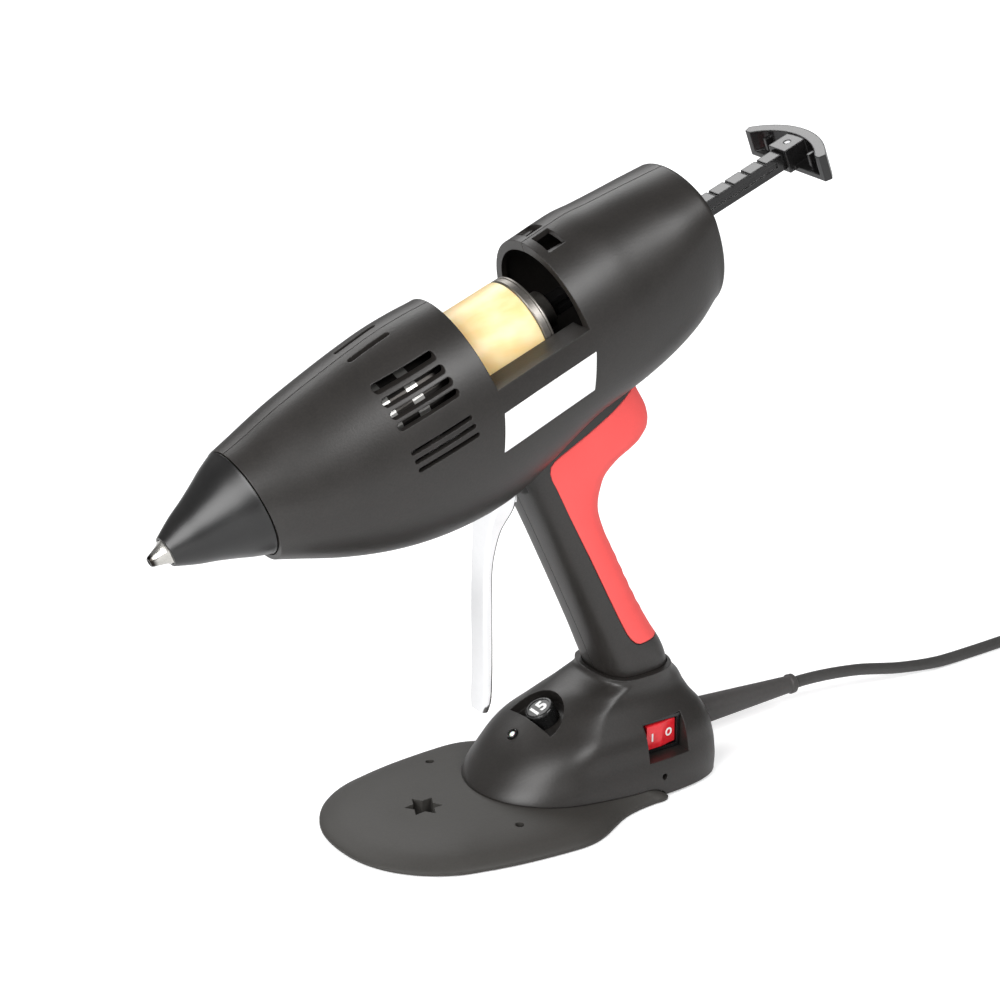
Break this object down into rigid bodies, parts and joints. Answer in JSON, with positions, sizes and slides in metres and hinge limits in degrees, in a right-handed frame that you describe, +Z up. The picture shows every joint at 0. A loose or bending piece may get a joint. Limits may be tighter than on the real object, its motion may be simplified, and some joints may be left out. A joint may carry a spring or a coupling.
{
  "type": "hot glue slug gun",
  "caption": "Corded hot glue slug gun on a low stand: top loading bay, push-rod plunger, chrome trigger, red grip, dial, rocker switch and tied mains cord.",
  "frame": {"origin": "on the floor under the middle of the box of the gun and its stand, without the cord", "axes": "+X from the nozzle towards the pull handle and the cord, +Y to the gun's right side, +Z up"},
  "size_m": [0.6282, 0.147, 0.279],
  "materials": {
    "charcoal_moulding": "fine textured glass-filled moulding",
    "nose_moulding": "smooth semi-gloss moulding",
    "gloss_black_moulding": "glossy moulding",
    "stand_moulding": "fine textured moulding",
    "red_grip_rubber": "soft-touch moulded rubber",
    "rocker_red": "glossy moulding with white marks",
    "cord_sheath": "smooth flexible sheath",
    "pad_rubber": "matt rubber",
    "amber_glue": "waxy translucent hot-melt glue",
    "chrome_plate": "polished plate on pressed steel",
    "bare_steel": "turned and pressed steel",
    "piston_alloy": "dull cast alloy",
    "cast_aluminium": "cast and turned aluminium",
    "brass": "drawn brass",
    "white_label": "blank coated label stock",
    "board_laminate": "glass laminate board",
    "lamp_lens": "pale diffusing lens",
    "tie_nylon": "hook-and-loop or nylon band",
    "white_ceramic": "matt technical ceramic"
  },
  "bodies": {
    "gun_and_stand": {"base_cover": "charcoal_moulding", "base_housing": "charcoal_moulding", "coil_tie": "tie_nylon", "control_board": "board_laminate", "cord_coil": "cord_sheath", "cord_tail": "cord_sheath", "foot_pad_1": "pad_rubber", "foot_pad_2": "pad_rubber", "foot_pad_3": "pad_rubber", "foot_pad_4": "pad_rubber", "front_support": "bare_steel", "grip_pad": "red_grip_rubber", "heater_left": "white_ceramic", "heater_right": "white_ceramic", "inlet_sleeve": "white_ceramic", "label_plate": "white_label", "lamp": "lamp_lens", "lamp_bezel": "gloss_black_moulding", "left_shell": "charcoal_moulding", "mains_cord": "cord_sheath", "melt_chamber": "cast_aluminium", "nose_cone": "nose_moulding", "nozzle": "bare_steel", "plug_body": "gloss_black_moulding", "plug_pin_earth": "brass", "plug_pin_line": "brass", "plug_pin_neutral": "brass", "potentiometer": "bare_steel", "right_shell": "charcoal_moulding", "rod_guide": "charcoal_moulding", "shell_screw_1": "bare_steel", "shell_screw_2": "bare_steel", "shell_screw_3": "bare_steel", "shell_screw_4": "bare_steel", "stand_plate": "stand_moulding", "strain_relief": "cord_sheath", "switch_body": "gloss_black_moulding", "trigger_pin": "bare_steel", "trigger_spring": "bare_steel"},
    "trigger": {"trigger": "chrome_plate", "drive_pin": "bare_steel"},
    "feed_carriage": {"feed_carriage": "piston_alloy", "pawl_pin": "bare_steel"},
    "feed_pawl": {"feed_pawl": "bare_steel"},
    "plunger": {"piston": "piston_alloy", "plunger_rod": "gloss_black_moulding", "pull_handle": "gloss_black_moulding", "pull_pin": "bare_steel"},
    "glue_slug": {"glue_slug": "amber_glue"},
    "dial": {"dial_knob": "gloss_black_moulding"},
    "rocker": {"rocker": "rocker_red"}
  },
  "joints": [
    {"name": "trigger_pivot", "type": "hinge", "parent": "gun_and_stand", "child": "trigger", "pos_m": [0.00125, 0, 0.15596], "axis": [0, -1, 0], "range_deg": [0, 17], "stiffness_Nm_per_rad": 0.4, "springref_deg": -28.65},
    {"name": "carriage_slide", "type": "slide", "parent": "gun_and_stand", "child": "feed_carriage", "axis": [-0.9358, 0, -0.3525], "range_m": [0, 0.0066]},
    {"name": "pawl_pivot", "type": "hinge", "parent": "feed_carriage", "child": "feed_pawl", "pos_m": [0.0561, 0, 0.24127], "axis": [0, 1, 0], "range_deg": [0, 12], "stiffness_Nm_per_rad": 0.002, "springref_deg": -11.46},
    {"name": "plunger_slide", "type": "slide", "parent": "gun_and_stand", "child": "plunger", "axis": [-0.9358, 0, -0.3525], "range_m": [-0.0155, 0.042]},
    {"name": "slug_slide", "type": "slide", "parent": "gun_and_stand", "child": "glue_slug", "axis": [-0.9358, 0, -0.3525], "range_m": [-0.0155, 0.042]},
    {"name": "dial_turn", "type": "hinge", "parent": "gun_and_stand", "child": "dial", "pos_m": [0.02241, 0, 0.0406], "axis": [-0.4695, 0, 0.8829], "range_deg": [-150, 150]},
    {"name": "rocker_turn", "type": "hinge", "parent": "gun_and_stand", "child": "rocker", "pos_m": [0.06921, -0.02382, 0.0255], "axis": [0, 0, 1], "range_deg": [-16, 0]}
  ],
  "couplings": [
    {"joint": "carriage_slide", "follows": "trigger_pivot", "m_per_rad": 0.02192},
    {"joint": "slug_slide", "follows": "plunger_slide", "ratio": 1}
  ]
}
